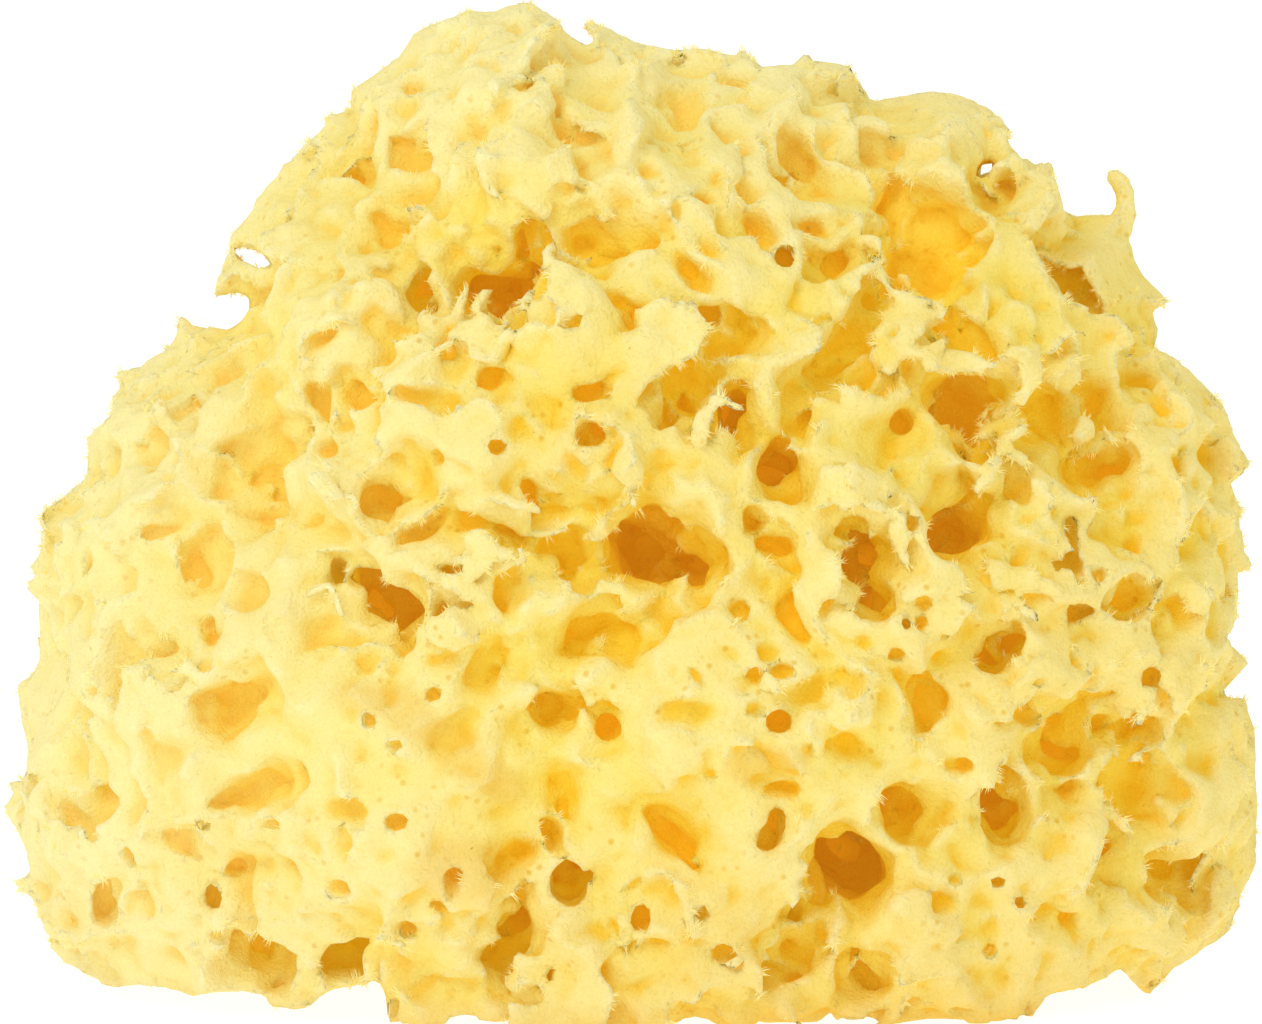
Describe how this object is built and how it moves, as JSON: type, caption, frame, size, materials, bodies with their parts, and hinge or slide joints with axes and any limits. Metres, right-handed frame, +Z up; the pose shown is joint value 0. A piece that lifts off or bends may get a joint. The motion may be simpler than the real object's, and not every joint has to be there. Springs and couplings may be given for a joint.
{
  "type": "natural sea sponge",
  "caption": "Dried honeycomb sea sponge, dome-shaped, with open channels, hollows and ragged rims over a flat cut base.",
  "frame": {"origin": "middle of the flat cut base", "axes": "+X to the right of the face that is seen, +Y away from the viewer, +Z up from the cut base"},
  "size_m": [0.1508, 0.1062, 0.1176],
  "materials": {
    "sponge": "soft, dull, pale yellow spongin fibre, deeper orange in the channels"
  },
  "bodies": {
    "root": {"sponge": "sponge"}
  },
  "joints": []
}
